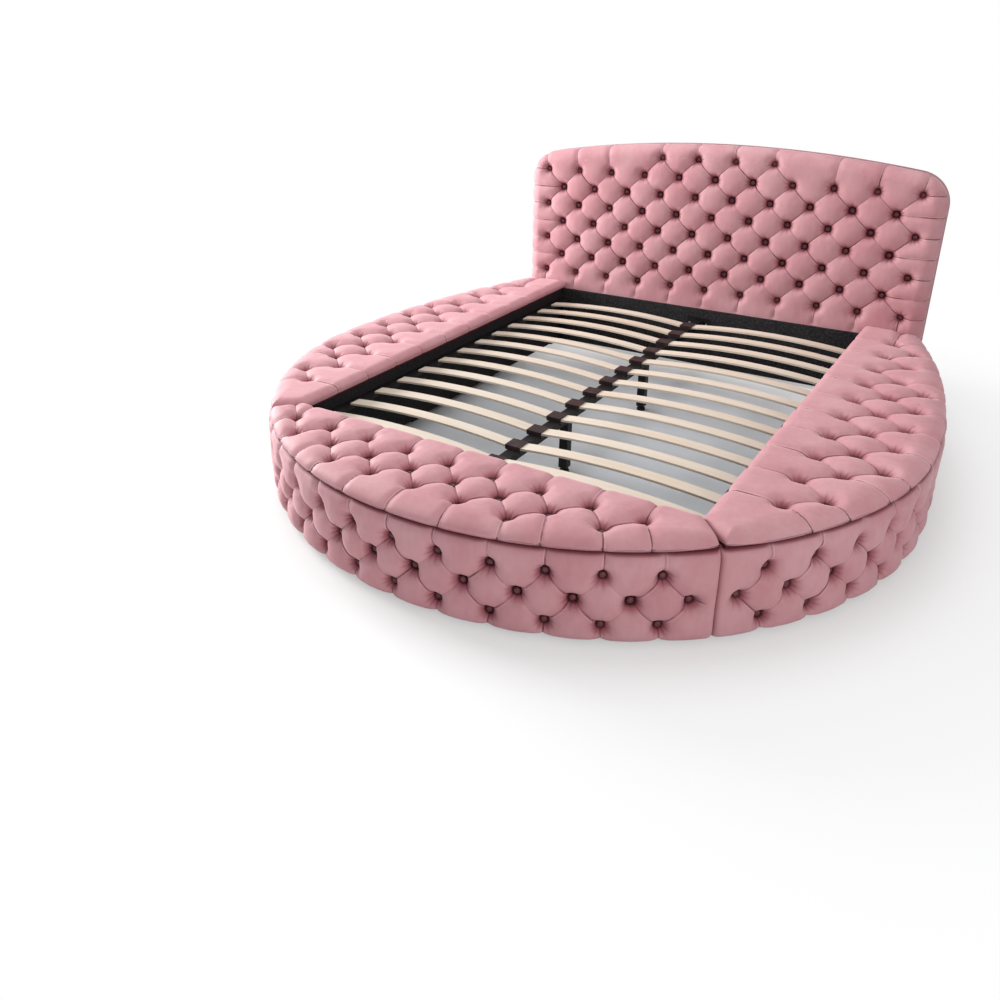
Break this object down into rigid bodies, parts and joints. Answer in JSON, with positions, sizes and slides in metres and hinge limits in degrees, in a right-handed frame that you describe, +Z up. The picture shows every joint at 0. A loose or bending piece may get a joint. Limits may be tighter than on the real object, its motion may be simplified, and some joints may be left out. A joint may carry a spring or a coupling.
{
  "type": "round bed",
  "caption": "Round upholstered bed with deep-buttoned storage benches and lift-off lids round a slatted mattress well, and a tufted headboard.",
  "frame": {"origin": "on the floor, in the middle of the bed's overall length and width", "axes": "+X to the right seen from the foot, +Y to the headboard, +Z up"},
  "size_m": [2.4896, 2.6166, 1.1],
  "materials": {
    "velvet": "deep-buttoned dusty pink velvet, soft pile",
    "button_velvet": "velvet-covered buttons",
    "plywood": "raw plywood",
    "black_cloth": "matt black lining cloth over board",
    "pine": "planed softwood",
    "birch": "pale laminated birch, satin lacquer",
    "black_steel": "black powder coat",
    "black_plastic": "moulded, slightly worn",
    "foot_plastic": "moulded levelling foot",
    "zinc": "bright zinc plate"
  },
  "bodies": {
    "base": {"beam_brackets": "black_steel", "centre_beam": "black_steel", "centre_clips": "black_plastic", "cleat_screws": "zinc", "corner_bolts": "zinc", "foot_bench_base": "black_cloth", "foot_bench_buttons": "button_velvet", "foot_bench_cover": "velvet", "foot_bench_end_panels": "plywood", "foot_bench_glides": "black_plastic", "foot_bench_inner_wall": "black_cloth", "foot_bench_outer_wall": "plywood", "front_centre_leg": "black_steel", "front_leg_plug": "black_plastic", "head_rail": "black_cloth", "head_rail_cleats": "pine", "headboard_back": "velvet", "headboard_bolts": "zinc", "headboard_buttons": "button_velvet", "headboard_cushion": "velvet", "headboard_frame": "pine", "headboard_glides": "black_plastic", "headboard_panel": "plywood", "left_bench_base": "black_cloth", "left_bench_buttons": "button_velvet", "left_bench_cover": "velvet", "left_bench_end_panels": "plywood", "left_bench_glides": "black_plastic", "left_bench_inner_wall": "black_cloth", "left_bench_outer_wall": "plywood", "left_slat_rail": "black_steel", "left_slats": "birch", "rear_centre_leg": "black_steel", "rear_leg_plug": "black_plastic", "right_bench_base": "black_cloth", "right_bench_buttons": "button_velvet", "right_bench_cover": "velvet", "right_bench_end_panels": "plywood", "right_bench_glides": "black_plastic", "right_bench_inner_wall": "black_cloth", "right_bench_outer_wall": "plywood", "right_slat_rail": "black_steel", "right_slats": "birch", "steel_screws": "zinc"},
    "foot_lid": {"foot_lid_battens": "pine", "foot_lid_board": "black_cloth", "foot_lid_buttons": "button_velvet", "foot_lid_cushion": "velvet"},
    "left_lid": {"left_lid_battens": "pine", "left_lid_board": "black_cloth", "left_lid_buttons": "button_velvet", "left_lid_cushion": "velvet"},
    "right_lid": {"right_lid_battens": "pine", "right_lid_board": "black_cloth", "right_lid_buttons": "button_velvet", "right_lid_cushion": "velvet"},
    "front_foot": {"front_leg_foot": "foot_plastic"},
    "rear_foot": {"rear_leg_foot": "foot_plastic"}
  },
  "joints": [
    {"name": "foot_lid_lift", "type": "slide", "parent": "base", "child": "foot_lid", "axis": [0, 0, 1], "range_m": [0, 0.15]},
    {"name": "left_lid_lift", "type": "slide", "parent": "base", "child": "left_lid", "axis": [0, 0, 1], "range_m": [0, 0.15]},
    {"name": "right_lid_lift", "type": "slide", "parent": "base", "child": "right_lid", "axis": [0, 0, 1], "range_m": [0, 0.15]},
    {"name": "front_foot_turn", "type": "hinge", "parent": "base", "child": "front_foot", "pos_m": [0, -0.23405, 0], "axis": [0, 0, 1], "continuous": true},
    {"name": "rear_foot_turn", "type": "hinge", "parent": "base", "child": "rear_foot", "pos_m": [0, 0.51045, 0], "axis": [0, 0, 1], "continuous": true}
  ]
}
